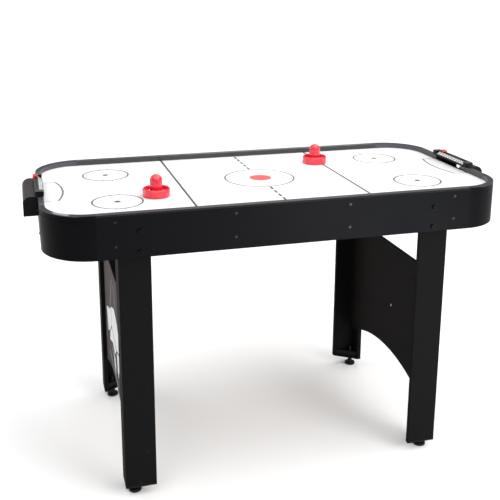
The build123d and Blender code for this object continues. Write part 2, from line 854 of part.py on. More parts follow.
with BuildPart() as switch_body:
    with BuildSketch(rear_plane(plate_front)):
        with Locations((-switch_x, power_z)):
            RectangleRounded(21, 15, 1.5)
    extrude(amount=2)
    with Locations((switch_x, plate_front, power_z)):
        Box(switch_length, 18, switch_height, align=(Align.CENTER, Align.MAX, Align.CENTER))
    with Locations((switch_x, plate_front + 2, power_z)):
        Box(
            cavity_length,
            10,
            cavity_height,
            align=(Align.CENTER, Align.MAX, Align.CENTER),
            mode=Mode.SUBTRACT,
        )
    with Locations((switch_x, pivot_y, power_z)):
        Cylinder(pivot_radius + running_gap, 12.2, mode=Mode.SUBTRACT)
    # terminal tabs
    with Locations(*[(switch_x + dx, plate_front - 18, power_z + 3) for dx in (-6, 6)]):
        Box(0.8, 7, 4.8, align=(Align.CENTER, Align.MAX, Align.CENTER))
save(switch_body, "switch_body")

rocker_plane = Plane(origin=(switch_x, pivot_y, power_z), z_dir=(0, 0, 1)).rotated((0, 0, -rocker_tilt))
with BuildPart() as switch_rocker:
    with BuildSketch(rocker_plane):
        with BuildLine():
            Polyline((-7.7, 5.2), (0, 4), (7.7, 5.2), (7.2, 1), (4.5, -3), (-4.5, -3), (-7.2, 1), close=True)
        make_face()
    extrude(amount=4.9, both=True)
    with Locations((switch_x, pivot_y, power_z)):
        Cylinder(pivot_radius, 11.8)
save(switch_rocker, "switch_rocker")

with BuildPart() as dc_inlet:
    with BuildSketch(rear_plane(plate_front)):
        with Locations((-inlet_x, power_z)):
            Circle(6.8)
    extrude(amount=1.5)
    with BuildSketch(rear_plane(plate_front - 15)):
        with Locations((-inlet_x, power_z)):
            Circle(5.5)
    extrude(amount=15)
    with BuildSketch(rear_plane(plate_front - 7.5)):
        with Locations((-inlet_x, power_z)):
            Circle(3.2)
            Circle(1.05, mode=Mode.SUBTRACT)
    extrude(amount=9, mode=Mode.SUBTRACT)
    with Locations(*[(inlet_x + dx, plate_front - 15, power_z) for dx in (-3, 3)]):
        Box(0.8, 6, 3, align=(Align.CENTER, Align.MAX, Align.CENTER))
save(dc_inlet, "dc_inlet")

# Lead from the blower to the switch, lying on the base board inside the plenum.
lead_radius = 2
lead_route = [
    (36, fan_size / 2, 697),
    (36, 88, 697),
    (54, 130, 695.4),
    (88, 172, 695),
    (128, 204, 695.2),
    (168, 222, 696.5),
    (202, 238, 703),
    (switch_x, 259, power_z - 5),
    (switch_x, plate_front - 18, power_z - 5),
]


def bend_radii(points):
    """The largest arc that each corner of the route has room for."""
    radii = []
    for before, corner, after in zip(points, points[1:], points[2:]):
        arriving = Vector(corner) - Vector(before)
        leaving = Vector(after) - Vector(corner)
        turn = radians(arriving.get_angle(leaving))
        radii.append(0.45 * min(arriving.length, leaving.length) / tan(turn / 2))
    return radii


lead_radii = bend_radii(lead_route)
print("fan lead bend radii:", [round(radius) for radius in lead_radii])
with BuildPart() as fan_lead:
    with BuildLine() as lead_path:
        FilletPolyline(*lead_route, radius=lead_radii)
    with BuildSketch(Plane(origin=lead_path.line @ 0, z_dir=lead_path.line % 0)):
        Circle(lead_radius)
    sweep()
save(fan_lead, "fan_lead")

# ---------------------------------------------------------------- pushers and puck
felt_thick = 2
felt_radius = 33
ring_height = 20.6
knob_radius = 16.5
pusher_height = 57


def pusher(side):
    x, y = pusher_places[side]
    low = field_top + hover
    base = low + 0.5
    ring_top = base + ring_height
    floor = base + 8
    dome = low + pusher_height - knob_radius
    upright = Plane(origin=(x, y, 0), x_dir=(1, 0, 0), z_dir=(0, -1, 0))
    axis = Axis((x, y, 0), (0, 0, 1))
    with BuildPart() as body:
        with BuildSketch(upright):
            with BuildLine():
                Polyline(
                    (0, low + felt_thick),
                    (felt_radius + 0.2, low + felt_thick),
                    (felt_radius + 0.2, base),
                    (pusher_radius - 0.6, base),
                    (pusher_radius, base + 2),
                    (pusher_radius, ring_top - 3),
                    (pusher_radius - 1.2, ring_top - 0.8),
                    (pusher_radius - 2.8, ring_top),
                    (pusher_radius - 4.2, ring_top - 0.8),
                    (pusher_radius - 5, ring_top - 3),
                    (pusher_radius - 6, floor + 2),
                    (pusher_radius - 8.5, floor),
                    (knob_radius + 3, floor),
                    (knob_radius + 0.8, floor + 2),
                    (knob_radius, floor + 6),
                    (knob_radius, dome),
                )
                CenterArc((0, dome), knob_radius, 0, 90)
                Line((0, dome + knob_radius), (0, low + felt_thick))
            make_face()
        revolve(axis=axis)
    save(body, f"{side}_pusher")
    with BuildPart() as felt:
        with BuildSketch(Plane.XY.offset(low)):
            with Locations((x, y)):
                Circle(felt_radius)
        extrude(amount=felt_thick)
        chamfer(edges().group_by(Axis.Z)[0], 0.3)
    save(felt, f"{side}_pusher_felt")


for side in pusher_places:
    pusher(side)

# The puck stands in the right goal box's pocket and leans back on the edge of the sill.
puck_gap = 0.3
puck_z = pocket_floor + puck_gap + puck_radius * sin(puck_lean) + puck_thick / 2 * cos(puck_lean)
puck_x = half_x + ((sill_z - puck_z) * cos(puck_lean) + puck_thick / 2 + puck_gap) / sin(puck_lean)
puck_plane = Plane(
    origin=(puck_x, puck_y, puck_z),
    x_dir=(0, 1, 0),
    z_dir=(sin(puck_lean), 0, cos(puck_lean)),
)
with BuildPart() as puck:
    with BuildSketch(puck_plane):
        Circle(puck_radius)
    extrude(amount=puck_thick / 2, both=True)
    fillet(edges(), 0.6)
    with BuildSketch(puck_plane.offset(puck_thick / 2)):
        Circle(puck_radius - 4)
        Circle(puck_radius - 6, mode=Mode.SUBTRACT)
    extrude(amount=-0.6, mode=Mode.SUBTRACT)
save(puck, "puck")
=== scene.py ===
import json
import math

import bmesh
import bpy
from mathutils import Matrix, Vector


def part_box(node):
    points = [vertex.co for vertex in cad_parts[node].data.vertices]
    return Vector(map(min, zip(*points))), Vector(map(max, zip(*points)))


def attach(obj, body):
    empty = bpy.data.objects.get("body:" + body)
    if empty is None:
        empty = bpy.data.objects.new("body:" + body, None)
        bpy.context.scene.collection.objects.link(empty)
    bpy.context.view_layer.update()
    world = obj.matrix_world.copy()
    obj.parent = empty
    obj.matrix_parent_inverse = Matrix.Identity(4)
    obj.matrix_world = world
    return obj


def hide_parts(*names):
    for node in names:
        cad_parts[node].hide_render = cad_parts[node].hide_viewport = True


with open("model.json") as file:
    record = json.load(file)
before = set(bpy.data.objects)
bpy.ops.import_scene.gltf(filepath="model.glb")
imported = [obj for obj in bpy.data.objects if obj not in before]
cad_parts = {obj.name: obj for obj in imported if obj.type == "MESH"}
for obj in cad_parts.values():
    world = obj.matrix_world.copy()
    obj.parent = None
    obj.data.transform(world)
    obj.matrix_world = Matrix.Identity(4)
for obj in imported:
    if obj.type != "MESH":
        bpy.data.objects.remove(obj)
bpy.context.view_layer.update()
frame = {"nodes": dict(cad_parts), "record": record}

# Looks of the air hockey table, in metres, in the CAD model's frame: +X runs along the
# table, -Y is its front, +Z is up and the floor is z = 0. What is drawn or turned below is
# given in millimetres, where its comment says so.

MM = 0.001
TURN = 2 * math.pi
ENDS = (("left", -1), ("right", 1))     # each end's name, and its side along X

# ---------------------------------------------------------------- places from the frame
END_RIM_WIDE = 14 * MM
FIELD_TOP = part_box("playing_field")[1].z
RIM_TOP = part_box("rear_rail")[1].z
RIM_OUTSIDE_Y = abs(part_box("front_rail")[0].y)
INNER_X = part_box("end_rails")[1].x - END_RIM_WIDE
INNER_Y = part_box("rear_rail")[0].y
BOARD_INSIDE_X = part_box("right_end_apron")[0].x
BOARD_INSIDE_Y = abs(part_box("front_apron")[1].y)
PANEL_IN, PANEL_OUT = (corner.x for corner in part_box("right_end_panel"))


# ---------------------------------------------------------------- shader building
class Look:
    """A procedural material being put together. Its pattern lies in the CAD frame, in metres."""

    def __init__(self, name, roughness=0.5, **sockets):
        self.mat = bpy.data.materials.new(name)
        self.mat.use_nodes = True
        self.tree = self.mat.node_tree
        self.bsdf = self.tree.nodes["Principled BSDF"]
        self.bsdf.inputs["Roughness"].default_value = roughness
        for key, value in sockets.items():
            self.bsdf.inputs[key.replace("_", " ")].default_value = value
        self.place = self.add("ShaderNodeTexCoord").outputs["Object"]
        split = self.add("ShaderNodeSeparateXYZ", {"Vector": self.place})
        self.x, self.y, self.z = split.outputs
        facing = self.add("ShaderNodeSeparateXYZ", {"Vector": self.place.node.outputs["Normal"]})
        self.upward = facing.outputs["Z"]
        self.normal = None

    def add(self, kind, inputs=None, **settings):
        """A new node, its inputs fed with sockets or values."""
        node = self.tree.nodes.new(kind)
        for key, value in settings.items():
            setattr(node, key, value)
        for key, value in (inputs or {}).items():
            self.feed(node.inputs[key], value)
        return node

    def feed(self, socket, value):
        if isinstance(value, bpy.types.NodeSocket):
            self.tree.links.new(value, socket)
        else:
            socket.default_value = value

    def math(self, operation, first, second=0.0):
        return self.add("ShaderNodeMath", {0: first, 1: second}, operation=operation).outputs[0]

    def within(self, coordinate, limit):
        """1 where the coordinate is less than limit from the middle plane, else 0."""
        return self.math("LESS_THAN", self.math("ABSOLUTE", coordinate), limit)

    def beyond(self, coordinate, limit):
        """1 where the coordinate is more than limit from the middle plane, else 0."""
        return self.math("GREATER_THAN", self.math("ABSOLUTE", coordinate), limit)

    def stretched(self, x=1.0, y=1.0, z=1.0):
        """The place, scaled along each axis, so that a pattern is drawn out."""
        inputs = {0: self.place, 1: (x, y, z)}
        return self.add("ShaderNodeVectorMath", inputs, operation="MULTIPLY").outputs[0]

    def noise(self, scale, detail=3.0, rough=0.55, place=None):
        inputs = {
            "Vector": place or self.place, "Scale": scale, "Detail": detail, "Roughness": rough
        }
        return self.add("ShaderNodeTexNoise", inputs).outputs["Fac"]

    def span(self, value, low, high, new_low=0.0, new_high=1.0):
        """value's range low..high spread over new_low..new_high, held at its ends."""
        inputs = {"Value": value, 1: low, 2: high, 3: new_low, 4: new_high}
        return self.add("ShaderNodeMapRange", inputs).outputs[0]

    def mix(self, factor, first, second):
        node = self.add("ShaderNodeMix", data_type="RGBA")
        self.feed(node.inputs["Factor"], factor)
        self.feed(node.inputs[6], first)
        self.feed(node.inputs[7], second)
        return node.outputs[2]

    def bump(self, height, depth, strength=1.0):
        """Adds relief: height runs 0..1 over depth metres."""
        inputs = {"Height": height, "Distance": depth, "Strength": strength}
        node = self.add("ShaderNodeBump", inputs)
        if self.normal:
            self.tree.links.new(self.normal, node.inputs["Normal"])
        self.normal = node.outputs["Normal"]

    def done(self, colour, roughness=None):
        """The finished material."""
        self.feed(self.bsdf.inputs["Base Color"], colour)
        if roughness is not None:
            self.feed(self.bsdf.inputs["Roughness"], roughness)
        if self.normal:
            self.tree.links.new(self.normal, self.bsdf.inputs["Normal"])
        return self.mat


def grey(value, warm=0.0):
    """A linear grey, warmer or, below zero, cooler."""
    return (value * (1 + max(warm, 0)), value, value * (1 - warm), 1.0)


def times(colour, factor):
    """A colour made lighter or darker."""
    return tuple(channel * factor for channel in colour[:3]) + (1,)


# ---------------------------------------------------------------- materials
FILM_DEEP = 0.6 * MM        # below this the field's holes and edges show raw board
PRINT_DEEP = 0.3 * MM       # a face's print reaches this far into a board


def field_film():
    """Glossy white film on fibreboard, with faint smudges left by the pushers."""
    look = Look("field_film", Coat_Weight=0.15, Coat_Roughness=0.2)
    smudge = look.noise(9, 4, place=look.stretched(1, 2.2, 1))
    look.bump(look.noise(420, 2), 0.00003, 0.35)
    board = look.mix(look.noise(900, 3), (0.36, 0.24, 0.14, 1), (0.52, 0.37, 0.22, 1))
    film = look.mix(look.span(smudge, 0.35, 0.7), grey(0.9, -0.004), grey(0.885, -0.006))
    on_top = look.math("GREATER_THAN", look.z, FIELD_TOP - FILM_DEEP)
    gloss = look.span(smudge, 0.3, 0.75, 0.30, 0.34)
    return look.done(look.mix(on_top, board, film), gloss)


def fibreboard():
    """Raw board: matted fibres with darker flecks."""
    look = Look("fibreboard", roughness=0.85)
    fibres = look.noise(650, 4, 0.7, look.stretched(1, 2.5, 4))
    look.bump(fibres, 0.0002, 0.5)
    flecks = look.span(look.noise(240, 2, 0.6), 0.55, 0.7)
    base = look.mix(fibres, (0.22, 0.135, 0.075, 1), (0.42, 0.28, 0.165, 1))
    return look.done(look.mix(flecks, base, (0.16, 0.095, 0.05, 1)))


def timber():
    """Planed softwood, its grain and rings drawn out along Y."""
    look = Look("timber", roughness=0.7)
    grain = look.noise(60, 5, 0.6, look.stretched(3, 0.35, 3))
    inputs = {"Vector": look.stretched(2, 0.3, 2), "Scale": 28, "Distortion": 5}
    rings = look.add("ShaderNodeTexWave", inputs).outputs["Fac"]
    look.bump(grain, 0.0003, 0.5)
    base = look.mix(grain, (0.50, 0.34, 0.19, 1), (0.72, 0.55, 0.36, 1))
    return look.done(look.mix(look.span(rings, 0, 1, 0, 0.45), base, (0.42, 0.27, 0.14, 1)))


WEAVE = 3.0 * MM            # the width of one crossing of two bundles
THREADS = 3                 # threads in a bundle


def woven_laminate():
    """Black laminate printed and embossed as woven fibre, on the aprons' outer faces."""
    look = Look("woven_laminate", Specular_IOR_Level=0.042)
    along = look.math("DIVIDE", look.math("ADD", look.x, look.y), WEAVE)
    upward = look.math("DIVIDE", look.z, WEAVE)
    cell = look.add("ShaderNodeCombineXYZ", {0: along, 1: upward, 2: 0.5}).outputs[0]
    over = look.add("ShaderNodeTexChecker", {"Vector": cell, "Scale": 1.0}).outputs["Fac"]
    picked = look.add("ShaderNodeMix", {"Factor": over}, data_type="FLOAT")
    for socket, across in ((2, along), (3, upward)):
        ripple = look.math("SINE", look.math("MULTIPLY", across, TURN * THREADS))
        look.feed(picked.inputs[socket], ripple)
    thread = look.span(picked.outputs[0], -1, 1)
    look.bump(thread, 0.00006, 0.5)
    look.bump(over, 0.00008, 0.45)
    cloud = look.noise(7, 3)
    dark = look.mix(thread, grey(0.0003, -0.2), grey(0.0007, -0.2))
    light = look.mix(thread, grey(0.0040, -0.3), grey(0.0070, -0.3))
    outside = look.mix(over, dark, light)
    in_x = look.within(look.x, BOARD_INSIDE_X + PRINT_DEEP)
    in_y = look.within(look.y, BOARD_INSIDE_Y + PRINT_DEEP)
    inside = look.math("MULTIPLY", in_x, in_y)
    raw = look.mix(look.noise(500, 3), (0.24, 0.15, 0.085, 1), (0.38, 0.25, 0.15, 1))
    bundles = look.span(over, 0, 1, 0.62, 0.30)
    gloss = look.math("ADD", bundles, look.span(cloud, 0.3, 0.7, -0.03, 0.05))
    gloss = look.math("ADD", gloss, look.math("MULTIPLY", inside, 0.4))
    return look.done(look.mix(inside, outside, raw), gloss)


# A corner's round has its middle at CORNER_X, CORNER_Y, and the radii are taken from there.
CORNER_X = 493 * MM
CORNER_Y = 176 * MM
CORNER_WALL_RADIUS = 108 * MM   # the wall beside the field lies inside this
CORNER_RIM_RADIUS = 122.5 * MM  # the rim's rounded outer edge lies outside this
CORNER_WALL_FOOT = FIELD_TOP - 1 * MM
CORNER_RIM_FOOT = RIM_TOP - 1.6 * MM
CORNER_GREY = (0.021, 0.023, 0.032, 1)
# Painted light: the paler grey of a corner's upright walls beside the field.
CORNER_WALL_PAINTED_LIGHT = (0.080, 0.082, 0.096, 1)
CORNER_COAT = 0.5


def corner_top(look):
    """1 on a corner's rim and on the wall beside the field, 0 on its outer shell."""
    beyond_x = look.math("SUBTRACT", look.math("ABSOLUTE", look.x), CORNER_X)
    beyond_y = look.math("SUBTRACT", look.math("ABSOLUTE", look.y), CORNER_Y)
    squares = [look.math("POWER", distance, 2.0) for distance in (beyond_x, beyond_y)]
    square = look.math("ADD", *squares)

    def part(radius, foot):
        nearer = look.math("LESS_THAN", square, radius ** 2)
        return look.math("MULTIPLY", nearer, look.math("GREATER_THAN", look.z, foot))

    wall = part(CORNER_WALL_RADIUS, CORNER_WALL_FOOT)
    return look.math("MAXIMUM", wall, part(CORNER_RIM_RADIUS, CORNER_RIM_FOOT))


def moulded(name, colour, roughness, grain=0.00004, scale=1400, top=None, painted_top_light=None, **sockets):
    """Injection-moulded plastic with a spark-eroded grain.

    top gives the mask of a grey, glossier rim part, whose upright walls take a paler colour as
    painted light; the colour given for faces that look upwards is painted light on them.
    """
    look = Look(name, **sockets)
    look.bump(look.noise(scale, 2, 0.6), grain, 0.6)
    look.bump(look.noise(35, 2), 0.0002, 0.08)
    wear = look.noise(14, 4)
    flat = look.mix(look.span(wear, 0.35, 0.7), colour, times(colour, 1.25))
    if top:
        # Painted light: on the rim part, the upright walls take a paler grey than the tops.
        lighter = look.mix(look.span(look.upward, 0.25, 0.8), CORNER_WALL_PAINTED_LIGHT, CORNER_GREY)
        mask = top(look)
        flat = look.mix(mask, flat, lighter)
        look.feed(look.bsdf.inputs["Coat Weight"], look.math("MULTIPLY", mask, CORNER_COAT))
    # Painted light: faces that look upwards take the paler colour given for them.
    if painted_top_light:
        flat = look.mix(look.span(look.upward, 0.25, 0.9), flat, painted_top_light)
    return look.done(flat, look.span(wear, 0.3, 0.7, roughness - 0.04, roughness + 0.07))


RIM_GREY = (0.042, 0.042, 0.047, 1)
RIM_RUBBED = (0.06, 0.06, 0.066, 1)
# Painted shade: the rim's outer edge is coloured near black over this width.
RIM_EDGE_SHADE_WIDE = 2.5 * MM        # the rim's dark outer edge
RIM_EDGE_ROUGH = 0.85


def rim_plastic():
    """Dark grey extruded rim, with drawing lines along it, rub marks on top and a matt outer edge
    coloured near black as painted shade.
    """
    look = Look("rim_plastic", Specular_IOR_Level=0.4)
    drawn = look.noise(900, 2, 0.6, look.stretched(0.02, 1, 1))
    look.bump(drawn, 0.00004, 0.35)
    rubs = look.noise(60, 5, 0.75, look.stretched(0.15, 1, 1))
    flat = look.mix(look.span(rubs, 0.5, 0.75), RIM_GREY, RIM_RUBBED)
    # Painted shade: the front and rear rims' outer edge is coloured near black.
    edge = look.beyond(look.y, RIM_OUTSIDE_Y - RIM_EDGE_SHADE_WIDE)
    gloss = look.span(rubs, 0.35, 0.75, 0.27, 0.42)
    gloss = look.math("MAXIMUM", gloss, look.math("MULTIPLY", edge, RIM_EDGE_ROUGH))
    return look.done(look.mix(edge, flat, grey(0.002)), gloss)


def leg_laminate():
    """Matt black paper laminate with a fine upright grain and faint scuffs near the foot."""
    look = Look("leg_laminate", Specular_IOR_Level=0.035)
    grain = look.noise(420, 4, 0.65, look.stretched(1, 1, 0.05))
    look.bump(grain, 0.00007, 0.5)
    scuffs = look.span(look.noise(38, 6, 0.8), 0.62, 0.75)
    low_down = look.span(look.z, 0.03, 0.25, 1.0, 0.12)
    base = look.mix(grain, grey(0.0036, 0.02), grey(0.0062))
    worn = look.mix(look.math("MULTIPLY", scuffs, low_down), base, grey(0.045))
    return look.done(worn, look.span(grain, 0.3, 0.7, 0.60, 0.72))


def panel_laminate():
    """Dark laminate: warm grey print outside, brown-black inside, a grey band on its edges.

    Where the edge looks upwards, under the table, the band is coloured near black as painted
    shade.
    """
    look = Look("panel_laminate", Specular_IOR_Level=0.05)
    grain = look.noise(300, 4, 0.65, look.stretched(1, 0.06, 1))
    look.bump(grain, 0.00006, 0.4)
    out = look.beyond(look.x, PANEL_OUT - PRINT_DEEP)
    into = look.within(look.x, PANEL_IN + PRINT_DEEP)
    inner = look.mix(grain, (0.0046, 0.0039, 0.0037, 1), (0.0074, 0.0063, 0.0060, 1))
    shade = look.span(look.z, 0.14, 0.52)
    printed = look.mix(shade, (0.045, 0.037, 0.036, 1), (0.083, 0.068, 0.066, 1))
    printed = look.mix(look.span(grain, 0.2, 0.8, 0, 0.25), printed, (0.11, 0.09, 0.088, 1))
    band = look.mix(grain, grey(0.09, 0.03), grey(0.13, 0.03))
    # Painted shade: the band is near black where the edge looks upwards.
    band = look.mix(look.span(look.upward, 0.3, 0.7), band, grey(0.004))
    faces = look.mix(into, look.mix(out, band, printed), inner)
    return look.done(faces, look.span(grain, 0.3, 0.7, 0.62, 0.75))


def steel(name, colour, roughness):
    """Plated or oxide-blackened steel, slightly blotched."""
    look = Look(name, Metallic=1.0)
    spin = look.noise(700, 3, 0.6)
    look.bump(spin, 0.00004, 0.4)
    tint = look.mix(look.span(look.noise(90, 3), 0.35, 0.7), colour, times(colour, 0.7))
    return look.done(tint, look.span(spin, 0.2, 0.8, roughness - 0.06, roughness + 0.1))


def windings():
    """Enamelled copper wound round the stator."""
    look = Look("windings", roughness=0.3, Metallic=0.7)
    inputs = {"Scale": 900, "Distortion": 1.5}
    turns = look.add("ShaderNodeTexWave", inputs, bands_direction="Z").outputs["Fac"]
    look.bump(turns, 0.0002, 0.7)
    return look.done(look.mix(turns, (0.28, 0.09, 0.03, 1), (0.62, 0.27, 0.10, 1)))


def gloss_red(name, colour, roughness, subsurface):
    """Polished red plastic with faint moulding flow and handling marks."""
    look = Look(
        name, Coat_Weight=0.9, Coat_Roughness=0.1,
        Subsurface_Weight=subsurface, Subsurface_Scale=0.004
    )
    flow = look.noise(30, 3, 0.6)
    marks = look.noise(260, 4, 0.8)
    look.bump(marks, 0.00003, 0.25)
    tint = look.mix(look.span(flow, 0.35, 0.7), colour, times(colour, 0.82))
    return look.done(tint, look.span(marks, 0.35, 0.75, roughness - 0.04, roughness + 0.1))


def felt_cloth():
    """Dark pressed felt."""
    look = Look("felt_cloth", roughness=0.95, Sheen_Weight=0.5, Sheen_Roughness=0.5)
    fuzz = look.noise(2600, 4, 0.8)
    look.bump(fuzz, 0.0004, 0.9)
    return look.done(look.mix(fuzz, grey(0.03), grey(0.10)))


def white_plastic(name, value, roughness):
    """White moulded plastic with fine scuffs."""
    look = Look(name, Coat_Weight=0.2, Coat_Roughness=0.15)
    marks = look.noise(180, 4, 0.75)
    look.bump(marks, 0.00004, 0.3)
    tint = look.mix(look.span(marks, 0.4, 0.75), grey(value), grey(value * 0.92, 0.01))
    return look.done(tint, look.span(marks, 0.3, 0.75, roughness - 0.04, roughness + 0.1))


def ink(name, colour, roughness=0.4):
    """Printed ink, slightly uneven in tone and gloss."""
    look = Look(name)
    speck = look.noise(1500, 3, 0.7)
    tint = look.mix(look.span(speck, 0.3, 0.8, 0, 0.6), colour, times(colour, 1.35))
    return look.done(tint, look.span(speck, 0.3, 0.8, roughness - 0.05, roughness + 0.05))


materials = {
    "field_laminate": field_film(),
    "raw_fibreboard": fibreboard(),
    "timber": timber(),
    "apron_laminate": woven_laminate(),
    "corner_moulding": moulded(
        "corner_plastic", grey(0.0022, -0.35), 0.42, top=corner_top,
        Specular_IOR_Level=0.035, Coat_Roughness=0.06
    ),
    "rim_moulding": rim_plastic(),
    # The goal's and the scorer's paler colours on upward-looking faces are painted light.
    "goal_moulding": moulded(
        "goal_plastic", grey(0.0042), 0.48, 0.00008, 900, painted_top_light=(0.049, 0.042, 0.040, 1),
        Specular_IOR_Level=0.08
    ),
    "scorer_moulding": moulded(
        "scorer_plastic", grey(0.0045), 0.42, painted_top_light=grey(0.060, 0.03), Specular_IOR_Level=0.1
    ),
    "scale_white": white_plastic("scale_plastic", 0.8, 0.3),
    "slider_red": gloss_red("slider_plastic", (0.78, 0.02, 0.035, 1), 0.3, 0.05),
    "leg_laminate": leg_laminate(),
    "foot_plastic": moulded(
        "foot_plastic", grey(0.004), 0.5, 0.00008, 900, Specular_IOR_Level=0.12
    ),
    "leveller_black": moulded("leveller_plastic", grey(0.005), 0.42, Specular_IOR_Level=0.2),
    "panel_print": panel_laminate(),
    "black_steel": steel("black_oxide_steel", grey(0.010), 0.42),
    "zinc_steel": steel("zinc_plate", (0.56, 0.57, 0.56, 1), 0.32),
    "guard_wire": moulded("coated_wire", grey(0.02), 0.35),
    "fan_plastic": moulded("fan_plastic", grey(0.014), 0.4, 0.00008, 1100),
    "motor_windings": windings(),
    "socket_plastic": moulded("socket_plastic", grey(0.006), 0.4, Specular_IOR_Level=0.2),
    "rocker_plastic": gloss_red("rocker_plastic", (0.5, 0.012, 0.02, 1), 0.25, 0.0),
    "lead_jacket": moulded("lead_jacket", grey(0.010), 0.5, 0.00005, 2200),
    "pusher_red": gloss_red("pusher_plastic", (0.86, 0.011, 0.043, 1), 0.22, 0.10),
    "felt": felt_cloth(),
    "puck_white": white_plastic("puck_plastic", 0.82, 0.3),
}
screw_steel = steel("screw_steel", grey(0.028), 0.3)
line_ink = ink("line_ink", grey(0.06))
dash_ink = ink("dash_ink", grey(0.03))
crease_ink = ink("crease_ink", grey(0.12))
crease_tint = ink("crease_tint", grey(0.72, -0.01), 0.3)
spot_ink = ink("spot_ink", (0.72, 0.066, 0.068, 1), 0.35)
digit_ink = ink("digit_ink", grey(0.012))
panel_white = ink("panel_white", grey(0.62, -0.02), 0.42)
panel_grey = ink("panel_grey", grey(0.36), 0.42)


# ---------------------------------------------------------------- CAD nodes kept in view
slot_of = {row["node"]: row["material_slot"] for row in frame["record"]["subparts"]}
BEVELS = {                  # the width of each slot's eased edges, in millimetres
    "apron_laminate": 0.8,
    "corner_moulding": 1.2,
    "foot_plastic": 0.8,
    "leg_laminate": 0.8,
    "panel_print": 0.8,
    "raw_fibreboard": 0.3,
    "rim_moulding": 0.4,
    "scorer_moulding": 0.3,
    "socket_plastic": 0.25,
    "timber": 0.8,
}
WELD = 0.002 * MM                   # vertices nearer than this are joined
FLAT_WITHIN = math.radians(0.4)     # facets turned less than this are merged
SHARP_FROM = math.radians(40)       # edges that turn more than this are eased


def soften(node, width):
    """Rounds a board's or moulding's sharp edges. The mesh itself stays as it is."""
    weld = node.modifiers.new("weld", "WELD")
    weld.merge_threshold = WELD
    flat = node.modifiers.new("flat", "DECIMATE")
    flat.decimate_type = "DISSOLVE"
    flat.angle_limit = FLAT_WITHIN
    bevel = node.modifiers.new("bevel", "BEVEL")
    bevel.width = width * MM
    bevel.segments = 2
    bevel.limit_method = "ANGLE"
    bevel.angle_limit = SHARP_FROM
    bevel.use_clamp_overlap = True
    level = node.modifiers.new("level", "WEIGHTED_NORMAL")
    level.keep_sharp = False
    level.weight = 80


for name, node in frame["nodes"].items():
    slot = slot_of[name]
    node.data.materials.clear()
    node.data.materials.append(screw_steel if name == "apron_screws" else materials[slot])
    if slot in BEVELS:
        soften(node, BEVELS[slot])


# ---------------------------------------------------------------- making pieces
def placed(name, data):
    """A new object in the scene that holds data."""
    obj = bpy.data.objects.new(name, data)
    bpy.context.scene.collection.objects.link(obj)
    return obj


def piece(name, bm, body, look):
    """Puts a finished mesh in the scene, riding on a CAD body."""
    mesh = bpy.data.meshes.new(name)
    bmesh.ops.recalc_face_normals(bm, faces=bm.faces)
    bm.to_mesh(mesh)
    bm.free()
    mesh.materials.append(look)
    obj = placed(name, mesh)
    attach(obj, body)
    return obj


# ---------------------------------------------------------------- printed markings
INK_LOW = 0.015 * MM
INK_HIGH = 0.11 * MM


def arc(centre, radius, first, last, steps):
    """Points round a centre, from one angle to another in degrees."""
    turns = [math.radians(first + (last - first) * i / steps) for i in range(steps + 1)]
    return [(centre[0] + radius * math.cos(t), centre[1] + radius * math.sin(t)) for t in turns]


class Print:
    """Ink laid on a flat face as thin closed slabs.

    Its drawing is in millimetres, along u and v in the face. out is the way the face looks.
    """

    def __init__(self, origin, u, v, out):
        self.bm = bmesh.new()
        self.origin, self.u, self.v, self.out = (Vector(a) for a in (origin, u, v, out))

    def loop(self, points, height):
        base = self.origin + self.out * height
        return [self.bm.verts.new(base + self.u * x * MM + self.v * y * MM) for x, y in points]

    def quads(self, first, second, closed):
        for i in range(len(first) if closed else len(first) - 1):
            j = (i + 1) % len(first)
            self.bm.faces.new((first[i], first[j], second[j], second[i]))

    def slab(self, outline):
        low, high = self.loop(outline, INK_LOW), self.loop(outline, INK_HIGH)
        self.bm.faces.new(low)
        self.bm.faces.new(high)
        self.quads(low, high, True)

    def band(self, inner, outer, closed):
        """A strip of ink between two rows of as many points."""
        heights = (INK_LOW, INK_HIGH)
        loops = [self.loop(side, height) for side in (inner, outer) for height in heights]
        for first, second in ((0, 1), (1, 3), (3, 2), (2, 0)):
            self.quads(loops[first], loops[second], closed)
        if not closed:
            for end in (0, -1):
                self.bm.faces.new([loops[i][end] for i in (0, 1, 3, 2)])

    def ring(self, centre, radius, width, steps=96):
        edges = (radius - width / 2, radius + width / 2)
        inner, outer = (arc(centre, edge, 0, 360, steps)[:-1] for edge in edges)
        self.band(inner, outer, True)

    def disc(self, centre, radius, steps=48):
        self.slab(arc(centre, radius, 0, 360, steps)[:-1])

    def line(self, start, end, width):
        first, last = Vector(start), Vector(end)
        along = last - first
        side = Vector((-along.y, along.x)).normalized() * width / 2
        self.slab([tuple(p) for p in (first - side, last - side, last + side, first + side)])


# The field's drawing, in millimetres from its middle. It ends just short of the rim.
RIM_GAP = 0.3
half_play_x = INNER_X / MM - RIM_GAP
half_play_y = INNER_Y / MM - RIM_GAP
ZONE_LINE_X = 232
ZONE_LINE_WIDE = 6.2
FACE_OFF = (416, 142)
FACE_OFF_RADIUS = 64
FACE_OFF_WIDE = 4.2
FACE_OFF_DOT = 8
TICK_LEANS = (-10, 10)          # degrees to each side of the circle's nearest and furthest point
TICK_FROM, TICK_TO = 65.2, 71
TICK_WIDE = 2
CENTRE_RADIUS = 97
CENTRE_WIDE = 4.4
SPOT_RADIUS = 31
SPOT_SHIFT = 3
DASH_COUNT = 5
DASH_START, DASH_PITCH, DASH_LONG = 103, 36, 25
DASH_WIDE = 6.4
# A goal crease is a shallow arc, closed by two short lines.
CREASE_NEAR = 557               # where the arc's ends stand
CREASE_HALF = 97
CREASE_RADIUS = 302
CREASE_ARC_WIDE = 5
CREASE_SIDE_Y = 96
CREASE_SIDE_WIDE = 2.6
CREASE_OVERLAP = 0.4
CREASE_STEPS = 24
TINT_INSET = 4.6                # the crease's tint stops this far inside the arc
TINT_NARROW = 0.965             # and is this much narrower


